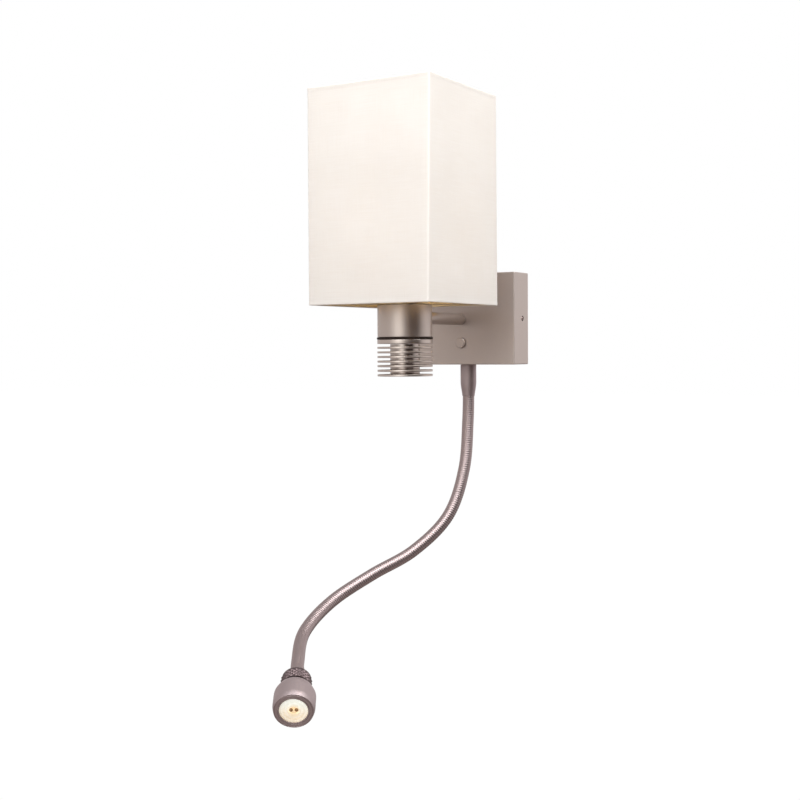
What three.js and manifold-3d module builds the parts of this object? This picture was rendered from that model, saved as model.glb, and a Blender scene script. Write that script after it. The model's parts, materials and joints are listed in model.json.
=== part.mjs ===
// A wall lamp: a flat canopy on a wall bracket, an arm with a cup, a stack of discs and a square fabric
// shade, and under the canopy a gooseneck with a small LED reading head.
// Millimetres. The wall is the plane Y = 0, the lamp stands out towards -Y, +Z is up, and the origin is
// the middle of the wall bracket's back face.
import * as THREE from "three";
import { mergeVertices } from "three/addons/utils/BufferGeometryUtils.js";
import Module from "manifold-3d";

const wasm = await Module();
wasm.setup();

// ---- Driving dimensions ----
const CANOPY = { width: 120, height: 92, depth: 32, wall: 2, rimGap: 0.4 };
const BRACKET = { width: 114.6, height: 76, sheet: 2, tabDepth: 20, tabHeight: 24 };
const SET_SCREW = { radius: 1.8, length: 6.4, y: -13 };
const BUTTON = { z: -24, radius: 5.3, proud: 3.2, travel: 2 };
const ARM = { radius: 6, bore: 5.3, pipeRadius: 5, pipeBore: 3.2, collarRadius: 6.6, collarLength: 13 };
const SHADE_Y = -144; // the upright axis that the cup, bulb and shade share
const CUP = { radius: 25.75, wall: 1.6, floor: 3.3, bottom: -18.7, top: 11.2 };
const STACK = { plateTop: -21, plateThick: 4, postRadius: 14.2, finRadius: 26, finThick: 1.9 };
const FINS = { count: 7, first: -28.6, pitch: 4.31 };
const SHADE = { width: 130, height: 199, bottom: 11, fabric: 0.6, liner: 0.6, corner: 2.5 };
const NECK = { radius: 6, ball: 4.6, socket: 5.2, halfGap: 1.6 };
const INLET = { y: -16, radius: 8.1, shoulder: -67, tip: -78.4, tipRadius: 6.9, bore: 6.4 };
const HEAD = {
  azimuth: 31.5,
  droop: 21.5,
  radius: 18.4,
  grip: 13.1,
  gripLength: 16,
  length: 45.6,
  boardAt: 39.6,
};
const GAP = 0.3; // clearance between pieces that touch on the real lamp

// The gooseneck's centre line. The eight middle points are its bending stations.
const NECK_ROUTE = [
  [0, -16, -70],
  [0, -16, -80],
  [0.5, -18.5, -104],
  [1.5, -29.5, -153],
  [-6, -50, -198.5],
  [-28.5, -81, -231.5],
  [-55, -118.5, -252.5],
  [-74.5, -160, -273.5],
  [-74.5, -206, -294],
  [-52.5, -248.5, -311],
  [-39.5, -268.5, -320],
  [-36.6, -273.3, -322.2],
];
const FIRST_STATION = 2;
const STATIONS = 8;

// ---- Materials ----
const paint = (color, roughness, metalness) =>
  new THREE.MeshStandardMaterial({ color, roughness, metalness });
const satin = paint(0xa39a92, 0.42, 0.85);
const gunmetal = paint(0x4a4340, 0.5, 0.7);
const zincSteel = paint(0xb4b6b8, 0.4, 0.9);
const brass = paint(0xb8934a, 0.35, 0.9);
const blackRubber = paint(0x151212, 0.8, 0);
const blackPlastic = paint(0x222224, 0.55, 0);
const whitePlastic = paint(0xe9e6df, 0.5, 0);
const redPlastic = paint(0xa8342a, 0.5, 0);
const porcelain = paint(0xf0ece2, 0.3, 0);
const fabric = paint(0xf3e9dc, 0.95, 0);
const linerFilm = paint(0xf7f1e6, 0.7, 0);
const opalGlass = paint(0xfff4dc, 0.25, 0);
const clearOptic = paint(0xfff2c8, 0.08, 0);
const boardGreen = paint(0xe8e4da, 0.5, 0.1);
const amberChip = paint(0xc07018, 0.4, 0);

// ---- Shape helpers ----
const rad = THREE.MathUtils.degToRad;
const at = ([x, y, z]) => new THREE.Vector3(x, y, z);

// A closed three.js geometry as a manifold-3d solid.
function solid(geometry) {
  const bare = new THREE.BufferGeometry();
  bare.setAttribute("position", geometry.getAttribute("position"));
  bare.setIndex(geometry.getIndex());
  const merged = mergeVertices(bare, 1e-4);
  return new wasm.Manifold(
    new wasm.Mesh({
      numProp: 3,
      vertProperties: merged.getAttribute("position").array,
      triVerts: new Uint32Array(merged.getIndex().array),
    }),
  );
}

function geometryOf(made) {
  const { vertProperties, triVerts } = made.getMesh();
  return new THREE.BufferGeometry()
    .setAttribute("position", new THREE.BufferAttribute(vertProperties, 3))
    .setIndex(new THREE.BufferAttribute(triVerts, 1));
}

const join = (first, ...others) =>
  geometryOf(others.reduce((sum, other) => sum.add(solid(other)), solid(first)));

const cut = (first, ...tools) =>
  geometryOf(tools.reduce((rest, tool) => rest.subtract(solid(tool)), solid(first)));

const box = (low, high) =>
  new THREE.BoxGeometry(high[0] - low[0], high[1] - low[1], high[2] - low[2]).translate(
    (low[0] + high[0]) / 2,
    (low[1] + high[1]) / 2,
    (low[2] + high[2]) / 2,
  );

// A turned piece about +Z. The profile is a list of [radius, height], which either starts and ends on
// the axis or closes on itself.
function turned(profile, sides = 24) {
  const closed = profile[0][0] > 0;
  const loop = closed ? [...profile, profile[0]] : profile;
  const area = profile.reduce((sum, [r, z], i) => {
    const [nextR, nextZ] = profile[(i + 1) % profile.length];
    return sum + r * nextZ - nextR * z;
  }, 0);
  const outline = area > 0 ? loop : [...loop].reverse();
  const points = outline.map(([r, z]) => new THREE.Vector2(r, z));
  return new THREE.LatheGeometry(points, sides).rotateX(Math.PI / 2);
}

// A turned piece whose heights run along +Y instead, through the point (x, 0, z).
const turnedAlongY = (profile, x, z, sides) =>
  turned(profile, sides).rotateX(-Math.PI / 2).translate(x, 0, z);

const disc = (radius, from, to, sides) =>
  turned([[0, from], [radius, from], [radius, to], [0, to]], sides);

const ring = (inner, outer, from, to, sides) =>
  turned([[inner, from], [outer, from], [outer, to], [inner, to]], sides);

// A hexagonal nut with a round hole. Its radius is the one to its corners.
const nut = (hole, radius, from, to) =>
  cut(disc(radius, from, to, 6), disc(hole, from - 1, to + 1, 16));

const discAlongY = (radius, from, to, x, z, sides) =>
  disc(radius, from, to, sides).rotateX(-Math.PI / 2).translate(x, 0, z);

const discAlongX = (radius, from, to, y, z, sides) =>
  disc(radius, from, to, sides).rotateY(Math.PI / 2).translate(0, y, z);

// A square with rounded corners, centred on (x, y).
function roundedSquare(width, corner, x, y, Kind = THREE.Shape) {
  const half = width / 2;
  const straight = half - corner;
  const outline = new Kind();
  outline.moveTo(x - straight, y - half);
  outline.lineTo(x + straight, y - half);
  outline.absarc(x + straight, y - straight, corner, -Math.PI / 2, 0);
  outline.absarc(x + straight, y + straight, corner, 0, Math.PI / 2);
  outline.absarc(x - straight, y + straight, corner, Math.PI / 2, Math.PI);
  outline.absarc(x - straight, y - straight, corner, Math.PI, 1.5 * Math.PI);
  return outline;
}

// A square tube on the shade's axis.
function squareTube(width, thick, corner, from, to) {
  const outline = roundedSquare(width, corner, 0, SHADE_Y);
  const inner = Math.max(corner - thick, 0.4);
  outline.holes.push(roundedSquare(width - 2 * thick, inner, 0, SHADE_Y, THREE.Path));
  return new THREE.ExtrudeGeometry(outline, {
    depth: to - from,
    bevelEnabled: false,
    curveSegments: 3,
  }).translate(0, 0, from);
}

function add(parent, name, geometry, material) {
  const mesh = new THREE.Mesh(geometry, material);
  mesh.name = name;
  parent.add(mesh);
  return mesh;
}

const onShadeAxis = (geometry) => geometry.translate(0, SHADE_Y, 0);

// ---- Wall canopy, its bracket and what they hold ----
const SCREW_HOLE = SET_SCREW.radius + GAP;
const INNER_FRONT = -CANOPY.depth + CANOPY.wall; // the front plate's inner face

function canopyCover() {
  const halfW = CANOPY.width / 2;
  const halfH = CANOPY.height / 2;
  const { wall, depth } = CANOPY;
  return cut(
    box([-halfW, -depth, -halfH], [halfW, -CANOPY.rimGap, halfH]),
    box([wall - halfW, INNER_FRONT, wall - halfH], [halfW - wall, 1, halfH - wall]),
    discAlongY(ARM.pipeRadius + GAP, -depth - 1, INNER_FRONT + 1, 0, 0, 16),
    discAlongY(BUTTON.radius + GAP, -depth - 1, INNER_FRONT + 1, 0, BUTTON.z, 20),
    disc(5.3, -halfH - 1, wall - halfH + 1, 16).translate(0, INLET.y, 0),
    discAlongX(SCREW_HOLE, -halfW - 1, wall - halfW + 1, SET_SCREW.y, 0, 12),
    discAlongX(SCREW_HOLE, halfW - wall - 1, halfW + 1, SET_SCREW.y, 0, 12),
  );
}

function wallBracket() {
  const { width, height, sheet, tabDepth, tabHeight } = BRACKET;
  const half = width / 2;
  const tab = (side) => {
    const x = [side * half, side * (half - sheet)].sort((a, b) => a - b);
    return box([x[0], -tabDepth, -tabHeight / 2], [x[1], -sheet / 2, tabHeight / 2]);
  };
  const slot = (side) => {
    const x = [side * 33, side * 46].sort((a, b) => a - b);
    return box([x[0], -sheet - 1, -2.4], [x[1], 1, 2.4]);
  };
  const blank = join(box([-half, -sheet, -height / 2], [half, 0, height / 2]), tab(-1), tab(1));
  return cut(
    blank,
    slot(-1),
    slot(1),
    box([-18, -sheet - 1, 12], [18, 1, 33]),
    discAlongY(2.3, -sheet - 1, 1, -22, -26, 12),
    discAlongX(SCREW_HOLE, -half - 1, sheet + 1 - half, SET_SCREW.y, 0, 12),
    discAlongX(SCREW_HOLE, half - sheet - 1, half + 1, SET_SCREW.y, 0, 12),
  );
}

// A grub screw with a hexagon socket in its outer end.
function setScrew(side) {
  const outer = CANOPY.width / 2 - 0.5;
  const screw = cut(
    disc(SET_SCREW.radius, outer - SET_SCREW.length, outer, 12),
    disc(1, outer - 2, outer + 1, 6),
  );
  return screw.rotateY((side * Math.PI) / 2).translate(0, SET_SCREW.y, 0);
}

function groundScrew() {
  const profile = [[0, -5.4], [4.2, -5.4], [4.2, -2.3], [2, -2.3], [2, -0.2], [0, -0.2]];
  return turnedAlongY(profile, -22, -26, 6);
}

function wireNut(x) {
  const profile = [[0, 12], [3.4, 12], [4, 13], [5.2, 26], [6, 28], [6, 31], [0, 31]];
  return turned(profile, 10).translate(x, -14, 0);
}

function pushButton() {
  const front = -CANOPY.depth - BUTTON.proud;
  const { radius } = BUTTON;
  const flange = INNER_FRONT + GAP;
  const profile = [
    [0, front],
    [radius - 0.9, front],
    [radius - 0.25, front + 0.3],
    [radius, front + 0.9],
    [radius, flange],
    [6.4, flange],
    [6.4, flange + 1],
    [1.8, flange + 1],
    [1.8, flange + 9.6],
    [0, flange + 9.6],
  ];
  return turnedAlongY(profile, 0, BUTTON.z, 20);
}

// A compression spring round the button's stem.
function buttonSpring() {
  const turns = 3;
  const coil = 3.3;
  const [from, to] = [-28.1, -24.8];
  class Helix extends THREE.Curve {
    getPoint(t) {
      const angle = t * turns * 2 * Math.PI;
      return at([coil * Math.cos(angle), from + (to - from) * t, BUTTON.z + coil * Math.sin(angle)]);
    }
  }
  const wire = new THREE.Shape().absarc(0, 0, 0.4, 0, 2 * Math.PI);
  return new THREE.ExtrudeGeometry(wire, {
    steps: turns * 10,
    curveSegments: 3,
    extrudePath: new Helix(),
  });
}

// A housing on two legs that reach the canopy's front plate, with a hole for the button's stem.
function switchBody() {
  const [low, high] = [BUTTON.z - 6, BUTTON.z + 6];
  return cut(
    join(
      box([-5.5, -24.2, low], [5.5, -9, high]),
      box([-11, -14, low], [11, -9.5, high]),
      box([-11, INNER_FRONT + GAP, low], [-8, -9, high]),
      box([8, INNER_FRONT + GAP, low], [11, -9, high]),
    ),
    discAlongY(2.3, -26, -15.5, 0, BUTTON.z, 12),
  );
}

function addCanopy(lamp) {
  add(lamp, "canopy_cover", canopyCover(), satin);
  add(lamp, "wall_bracket", wallBracket(), zincSteel);
  add(lamp, "set_screw_left", setScrew(-1), gunmetal);
  add(lamp, "set_screw_right", setScrew(1), gunmetal);
  add(lamp, "ground_screw", groundScrew(), brass);
  add(lamp, "led_driver", box([16, -25, -40], [52, -4, -16]), whitePlastic);
  add(lamp, "wire_nut_left", wireNut(-46), redPlastic);
  add(lamp, "wire_nut_right", wireNut(-30), redPlastic);
  add(lamp, "push_button", pushButton(), satin);
  add(lamp, "button_spring", buttonSpring(), zincSteel);
  add(lamp, "switch_body", switchBody(), blackPlastic);
}

// ---- Arm ----
const CUP_FRONT = SHADE_Y + CUP.radius; // where the cup's side faces the wall

// Cuts an end of the arm to the cup's round side.
const againstCup = (geometry) =>
  cut(geometry, onShadeAxis(disc(CUP.radius + GAP, -30, 30, 48)));

const sleeve = (inner, outer, from, to, sides) => ring(inner, outer, from, to, sides).rotateX(-Math.PI / 2);

function addArm(lamp) {
  const canopyEnd = -CANOPY.depth - GAP;
  const pipeEnd = CUP_FRONT - 6;
  const collarEnd = CUP_FRONT + ARM.collarLength;
  add(lamp, "arm_pipe", sleeve(ARM.pipeBore, ARM.pipeRadius, pipeEnd, -25, 12), zincSteel);
  add(lamp, "arm_tube", againstCup(sleeve(ARM.bore, ARM.radius, CUP_FRONT - 3, canopyEnd, 20)), satin);
  add(
    lamp,
    "arm_collar",
    againstCup(sleeve(ARM.radius + GAP / 2, ARM.collarRadius, CUP_FRONT - 3, collarEnd, 20)),
    satin,
  );
  const outerNut = nut(5.3, 8, INNER_FRONT + GAP, INNER_FRONT + 3.3).rotateX(-Math.PI / 2);
  add(lamp, "arm_nut_canopy", outerNut, zincSteel);
  const cupInside = CUP_FRONT - CUP.wall;
  const innerNut = nut(5.3, 7, cupInside - 3.6, cupInside - 1.6).rotateX(-Math.PI / 2);
  add(lamp, "arm_nut_cup", innerNut, zincSteel);
}

// ---- Cup and the stack of discs under it ----
function lampCup() {
  const { radius, wall, floor, bottom, top } = CUP;
  const shell = turned(
    [
      [3.4, bottom],
      [radius - 0.4, bottom],
      [radius, bottom + 0.4],
      [radius, top],
      [radius - wall, top],
      [radius - wall, bottom + floor],
      [3.4, bottom + floor],
    ],
    28,
  );
  return cut(onShadeAxis(shell), discAlongY(5.3, CUP_FRONT - 4, CUP_FRONT + 1, 0, 0, 16));
}

function stackScrew(bottom) {
  const profile = [[0, bottom], [5.4, bottom], [3, bottom + 2.4], [3, -6], [0, -6]];
  return turned(profile, 12);
}

function addStack(lamp) {
  const plateBottom = STACK.plateTop - STACK.plateThick;
  const stackBottom = FINS.first - (FINS.count - 1) * FINS.pitch - STACK.finThick / 2;
  const { postRadius, finRadius, finThick } = STACK;
  const post = [
    [3.4, plateBottom - GAP],
    [postRadius, plateBottom - GAP],
    [postRadius, stackBottom],
    [6, stackBottom],
    [3.4, stackBottom + 2.6],
  ];
  add(lamp, "lamp_cup", lampCup(), satin);
  add(lamp, "gasket_ring", onShadeAxis(ring(18, 26.4, STACK.plateTop + 0.2, CUP.bottom - 0.2)), blackRubber);
  const plate = ring(3.4, finRadius, plateBottom, STACK.plateTop);
  add(lamp, "flange_plate", onShadeAxis(plate), satin);
  add(lamp, "fin_post", onShadeAxis(turned(post, 18)), satin);
  for (let i = 0; i < FINS.count; i++) {
    const middle = FINS.first - i * FINS.pitch;
    const fin = ring(postRadius + GAP, finRadius, middle - finThick / 2, middle + finThick / 2);
    add(lamp, `fin_${i + 1}`, onShadeAxis(fin), satin);
  }
  add(lamp, "stack_screw", onShadeAxis(stackScrew(stackBottom)), zincSteel);
}

// ---- Lampholder, bulb and shade ----
function lampholder() {
  const profile = [
    [3.4, -15],
    [18.5, -15],
    [18.5, 8.4],
    [21.6, 9],
    [21.6, 11.4],
    [18.2, 11.4],
    [18.2, 26],
    [14, 26],
    [14, 0],
    [3.4, 0],
  ];
  return turned(profile, 20);
}

// The bulb's envelope, a thin shell that is open where the base closes it.
function bulbGlass() {
  const outside = [
    [13, 27.3],
    [14.4, 36],
    [19, 52],
    [25.6, 67],
    [29.4, 80],
    [29.8, 89],
    [27.6, 98.5],
    [22, 107],
    [12.5, 113],
    [0, 115.2],
  ];
  const inside = outside.map(([r, z], i) => [Math.max(r - 1.2, 0), i ? z - 0.9 : z]);
  return turned([...outside, ...inside.reverse()], 16);
}

// The shade's bottom frame: a square strip, four flat spokes to its corners, and a ring on the lampholder.
function shadeCarrier() {
  const outside = SHADE.width - 2 * (SHADE.fabric + SHADE.liner + 2 * GAP);
  const corner = SHADE.corner - SHADE.fabric - SHADE.liner;
  const strip = squareTube(outside, 1.2, corner, SHADE.bottom + 0.6, SHADE.bottom + 6.6);
  const low = SHADE.bottom + 0.8;
  const spokeHalf = 2.5;
  const reach = (outside / 2 - 0.6) * Math.SQRT2 - spokeHalf; // its end's corners lie in the strip
  const spoke = (quarter) => {
    const flat = box([22, -spokeHalf, low], [reach, spokeHalf, low + 1.4]);
    return onShadeAxis(flat.rotateZ(rad(45 + 90 * quarter)));
  };
  const hub = onShadeAxis(ring(18.8, 24, low, low + 1.4, 24));
  return join(hub, spoke(0), spoke(1), spoke(2), spoke(3), strip);
}

function addShade(lamp) {
  const { width, height, bottom, corner } = SHADE;
  const top = bottom + height;
  const linerWidth = width - 2 * (SHADE.fabric + GAP);
  const frameWidth = linerWidth - 2 * (SHADE.liner + GAP);
  const frameCorner = corner - SHADE.fabric - SHADE.liner;
  add(lamp, "lampholder", onShadeAxis(lampholder()), porcelain);
  add(lamp, "bulb_base", onShadeAxis(disc(13, 4, 27, 20)), brass);
  add(lamp, "bulb_glass", onShadeAxis(bulbGlass()), opalGlass);
  add(lamp, "shade_nut", onShadeAxis(ring(18.6, 22.4, bottom + 2.5, bottom + 8, 20)), porcelain);
  add(lamp, "shade_carrier", shadeCarrier(), brass);
  add(lamp, "shade_top_frame", squareTube(frameWidth, 2.8, frameCorner, top - 4.2, top - 1.4), whitePlastic);
  const linerCorner = corner - SHADE.fabric;
  const liner = squareTube(linerWidth, SHADE.liner, linerCorner, bottom + 0.5, top - 0.5);
  add(lamp, "shade_liner", liner, linerFilm);
  add(lamp, "shade_fabric", squareTube(width, SHADE.fabric, corner, bottom, top), fabric);
}

// ---- Gooseneck ----
const route = new THREE.CatmullRomCurve3(NECK_ROUTE.map(at), false, "centripetal");
const STEPS_PER_SPAN = 60;
route.arcLengthDivisions = STEPS_PER_SPAN * (NECK_ROUTE.length - 1);
const routeLengths = route.getLengths(route.arcLengthDivisions);
const routeLength = routeLengths[routeLengths.length - 1];
const distanceTo = (knot) => routeLengths[STEPS_PER_SPAN * knot];

// The stretch of the route between two distances along it.
class Stretch extends THREE.Curve {
  constructor(from, to) {
    super();
    this.from = from / routeLength;
    this.to = to / routeLength;
  }
  getPoint(t) {
    return route.getPointAt(THREE.MathUtils.lerp(this.from, this.to, t));
  }
}

const ballAt = (point, radius) =>
  new THREE.SphereGeometry(radius, 10, 6).translate(point[0], point[1], point[2]);

// One segment of the neck. It turns in the socket of the one before it on a ball of its own.
function neckSegment(index) {
  const station = FIRST_STATION + index;
  const from = index ? distanceTo(station - 1) + NECK.halfGap : 3;
  const to = index < STATIONS ? distanceTo(station) - NECK.halfGap : routeLength - 2;
  const section = new THREE.Shape().absarc(0, 0, NECK.radius, 0, 2 * Math.PI);
  const rod = new THREE.ExtrudeGeometry(section, {
    steps: 5,
    curveSegments: 5,
    extrudePath: new Stretch(from, to),
  });
  let made = solid(rod);
  if (index) made = made.add(solid(ballAt(NECK_ROUTE[station - 1], NECK.ball)));
  if (index < STATIONS) made = made.subtract(solid(ballAt(NECK_ROUTE[station], NECK.socket)));
  return geometryOf(made);
}

function inletFitting() {
  const { radius, shoulder, tip, tipRadius, bore } = INLET;
  const underCanopy = -CANOPY.height / 2 - GAP;
  const profile = [
    [3, -36],
    [5, -36],
    [5, underCanopy],
    [radius, underCanopy],
    [radius, shoulder],
    [radius - 0.25, shoulder - 3.8],
    [tipRadius + 0.4, tip + 3],
    [tipRadius, tip],
    [bore, tip],
    [bore, -64],
    [3, -64],
  ];
  return turned(profile, 20).translate(0, INLET.y, 0);
}

function addNeck(lamp) {
  const inner = CANOPY.wall - CANOPY.height / 2;
  const inlet = (geometry) => geometry.translate(0, INLET.y, 0);
  add(lamp, "inlet_fitting", inletFitting(), satin);
  add(lamp, "inlet_washer", inlet(ring(5.3, 8.6, inner + GAP, inner + 1.3, 20)), zincSteel);
  add(lamp, "inlet_nut", inlet(nut(5.3, 8, inner + 1.6, inner + 5)), zincSteel);
  for (let i = 0; i <= STATIONS; i++) add(lamp, `neck_${i}`, neckSegment(i), satin);
}

// ---- Reading head, built along its own +Z from the back of its collar ----
function headFrame() {
  const [azimuth, droop] = [rad(HEAD.azimuth), rad(HEAD.droop)];
  const forward = at([
    Math.sin(azimuth) * Math.cos(droop),
    -Math.cos(azimuth) * Math.cos(droop),
    -Math.sin(droop),
  ]);
  const side = new THREE.Vector3(0, 0, 1).cross(forward).normalize();
  const head = new THREE.Group();
  head.quaternion.setFromRotationMatrix(
    new THREE.Matrix4().makeBasis(side, forward.clone().cross(side), forward),
  );
  head.position.copy(at(NECK_ROUTE[NECK_ROUTE.length - 2]));
  return head;
}

function gripCollar() {
  const { grip, gripLength } = HEAD;
  const profile = [
    [6.5, 0],
    [grip - 3.4, 0],
    [grip - 1.2, 0.5],
    [grip, 2],
    [grip, gripLength - 1],
    [grip - 0.4, gripLength],
    [8.4, gripLength],
    [8.4, 8.6],
    [6.5, 8.6],
  ];
  return turned(profile, 24);
}

function headBody() {
  const { radius, grip, gripLength, length } = HEAD;
  const neckStart = gripLength + GAP;
  const profile = [
    [3, 9],
    [8, 9],
    [8, neckStart],
    [grip - 0.1, neckStart],
    [grip, neckStart + 0.7],
    [grip + 1.8, neckStart + 2.5],
    [grip + 3.5, neckStart + 4.7],
    [radius - 0.6, neckStart + 7.6],
    [radius, neckStart + 11.2],
    [radius, length - 2.2],
    [radius - 0.5, length - 0.8],
    [radius - 1.3, length],
    [13.9, length],
    [13.9, HEAD.boardAt - GAP],
    [12.6, HEAD.boardAt - GAP],
    [12.6, 25],
    [3, 25],
  ];
  return turned(profile, 24);
}

function headOptic() {
  const profile = [
    [0, 42.9],
    [4.6, 42.9],
    [5.6, 41.6],
    [12.2, 43],
    [13.6, 43.2],
    [13.6, 44.2],
    [0, 44.2],
  ];
  return turned(profile, 24);
}

function addHead(lamp) {
  const head = headFrame();
  add(head, "grip_collar", gripCollar(), gunmetal);
  add(head, "head_body", headBody(), satin);
  const boardTop = HEAD.boardAt + 1.6;
  const led = () => disc(1.7, boardTop + GAP, boardTop + GAP + 1.1, 8);
  add(head, "head_board", disc(13.5, HEAD.boardAt, boardTop, 20), boardGreen);
  add(head, "led_left", led().translate(-2.6, 0, 0), amberChip);
  add(head, "led_right", led().translate(2.6, 0, 0), amberChip);
  add(head, "head_optic", headOptic(), clearOptic);
  add(head, "head_ring", ring(12.4, 13.6, 44.5, 45.5, 24), satin);
  lamp.add(head);
}

const lamp = new THREE.Group();
addCanopy(lamp);
addArm(lamp);
addStack(lamp);
addShade(lamp);
addNeck(lamp);
addHead(lamp);

export default lamp;
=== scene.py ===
"""The looks of a wall lamp: a satin canopy with an arm and a cup, a stack of thin discs, a square fabric
shade, and a gooseneck with a small LED reading head.

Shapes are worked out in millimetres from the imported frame, and a mesh is made in metres. The wall is the
plane Y = 0, the lamp stands out towards -Y, and +Z is up."""

import json
import math
from collections import namedtuple

import bmesh
import bpy
import numpy as np
from mathutils import Matrix, Vector, noise


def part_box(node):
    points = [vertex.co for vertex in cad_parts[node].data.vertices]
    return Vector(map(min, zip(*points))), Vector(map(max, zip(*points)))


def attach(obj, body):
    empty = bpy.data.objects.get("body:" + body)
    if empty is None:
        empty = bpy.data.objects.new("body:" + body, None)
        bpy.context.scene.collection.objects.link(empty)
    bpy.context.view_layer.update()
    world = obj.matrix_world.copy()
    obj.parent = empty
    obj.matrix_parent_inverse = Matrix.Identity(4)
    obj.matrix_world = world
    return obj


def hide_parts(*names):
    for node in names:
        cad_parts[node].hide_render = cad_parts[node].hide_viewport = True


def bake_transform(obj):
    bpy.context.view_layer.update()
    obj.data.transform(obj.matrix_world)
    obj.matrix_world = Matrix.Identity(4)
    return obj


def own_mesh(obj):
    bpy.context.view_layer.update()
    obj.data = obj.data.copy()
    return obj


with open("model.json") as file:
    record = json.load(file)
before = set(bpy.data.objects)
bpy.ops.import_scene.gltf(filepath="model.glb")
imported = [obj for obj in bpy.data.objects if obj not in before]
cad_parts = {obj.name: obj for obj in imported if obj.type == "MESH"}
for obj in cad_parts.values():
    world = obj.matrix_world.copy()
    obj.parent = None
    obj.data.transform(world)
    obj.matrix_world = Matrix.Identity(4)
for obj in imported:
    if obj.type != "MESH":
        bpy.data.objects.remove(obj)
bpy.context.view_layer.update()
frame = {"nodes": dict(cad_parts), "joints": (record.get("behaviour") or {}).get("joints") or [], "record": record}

MM = 0.001
SLOT_OF = {part["node"]: part["material_slot"] for part in frame["record"]["subparts"]}
BODY_OF = {
    node: body
    for body, nodes in frame["record"]["behaviour"]["bodies"].items()
    for node in nodes
}

Span = namedtuple("Span", "low high middle size")


def span(node):
    """A CAD node's box at rest, in millimetres."""
    low, high = (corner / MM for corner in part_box(node))
    return Span(low, high, (low + high) / 2, high - low)


# ---- Camera ----
CAMERA_AT = Vector((0.60595, -1.17036, -0.03137))
CAMERA_HEADING = 31.34  # degrees to the left of +Y
CAMERA_DOWN = 2.17
CAMERA_ROLL = -0.40
CAMERA_LENS = 56.94
CAMERA_SHIFT = (0.015, -0.0017)


def linked(name, data):
    """A new object in the scene that shows the data."""
    made = bpy.data.objects.new(name, data)
    bpy.context.scene.collection.objects.link(made)
    return made


def rotation(degrees, axis):
    return Matrix.Rotation(math.radians(degrees), 4, axis)


def add_camera():
    data = bpy.data.cameras.new("camera")
    data.lens = CAMERA_LENS
    data.sensor_width = 36
    data.shift_x, data.shift_y = CAMERA_SHIFT
    camera = linked("camera", data)
    turn = rotation(CAMERA_HEADING, "Z") @ rotation(90 - CAMERA_DOWN, "X") @ rotation(CAMERA_ROLL, "Z")
    camera.matrix_world = Matrix.Translation(CAMERA_AT) @ turn
    bpy.context.scene.camera = camera


add_camera()


# ---- Node trees ----
def scaled(colour, factor):
    return tuple(part * factor for part in colour)


class Graph:
    """A node tree that is built a node at a time. An input is given a value or another node's output."""

    def __init__(self, owner):
        owner.use_nodes = True
        self.owner = owner
        self.tree = owner.node_tree
        self.tree.nodes.clear()

    def node(self, kind, inputs=None, **settings):
        made = self.tree.nodes.new("ShaderNode" + kind)
        for key, value in settings.items():
            setattr(made, key, value)
        for key, value in (inputs or {}).items():
            if isinstance(value, bpy.types.NodeSocket):
                self.tree.links.new(value, made.inputs[key])
            else:
                made.inputs[key].default_value = value
        return made

    def place(self, kind="Object"):
        return self.node("TexCoord").outputs[kind]

    def split(self, vector):
        return self.node("SeparateXYZ", {0: vector}).outputs

    def stretched(self, place, by):
        return self.node("VectorMath", {0: place, 1: by}, operation="MULTIPLY").outputs[0]

    def math(self, operation, first, second=0.0):
        return self.node("Math", {0: first, 1: second}, operation=operation).outputs[0]

    def weighted(self, first, first_share, second, second_share):
        products = self.math("MULTIPLY", first, first_share), self.math("MULTIPLY", second, second_share)
        return self.math("ADD", *products)

    def distance(self, across, along):
        return self.math("SQRT", self.weighted(across, across, along, along))

    def noise(self, place, scale, detail=3.0, roughness=0.5):
        inputs = {"Vector": place, "Scale": scale, "Detail": detail, "Roughness": roughness}
        return self.node("TexNoise", inputs).outputs["Fac"]

    def between(self, value, low, high, to_low=0.0, to_high=1.0, kind="SMOOTHSTEP"):
        inputs = {0: value, 1: low, 2: high, 3: to_low, 4: to_high}
        return self.node("MapRange", inputs, interpolation_type=kind).outputs[0]

    def near(self, middle, noise, reach):
        """The middle value, and up to reach more or less of it as the noise goes."""
        return self.between(noise, 0.3, 0.7, middle - reach, middle + reach, "LINEAR")

    def blend(self, share, first, second):
        inputs = {0: share, 6: (*first, 1) if isinstance(first, tuple) else first}
        inputs[7] = (*second, 1) if isinstance(second, tuple) else second
        return self.node("Mix", inputs, data_type="RGBA").outputs[2]

    def mottled(self, share, base, mottle):
        return self.blend(share, scaled(base, 1 - mottle), scaled(base, 1 + mottle))

    def bump(self, height, depth, strength=1.0):
        inputs = {"Height": height, "Distance": depth, "Strength": strength}
        return self.node("Bump", inputs).outputs["Normal"]

    def surface(self, inputs, through_share=0.0):
        """The material, ended with a surface that lets a share of the light on through it."""
        shader = self.node("BsdfPrincipled", inputs)
        if through_share:
            same = {"Color": inputs["Base Color"]}
            if "Normal" in inputs:
                same["Normal"] = inputs["Normal"]
            through = self.node("BsdfTranslucent", same).outputs[0]
            shader = self.node("MixShader", {0: through_share, 1: shader.outputs[0], 2: through})
        self.node("OutputMaterial", {0: shader.outputs[0]})
        return self.owner


# ---- Light ----
FLOOR_Z = -1.6  # a lamp on a wall hangs well above the floor
BRIGHTEST = 1.8  # the ring of light below is drawn as shares of this radiance

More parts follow.
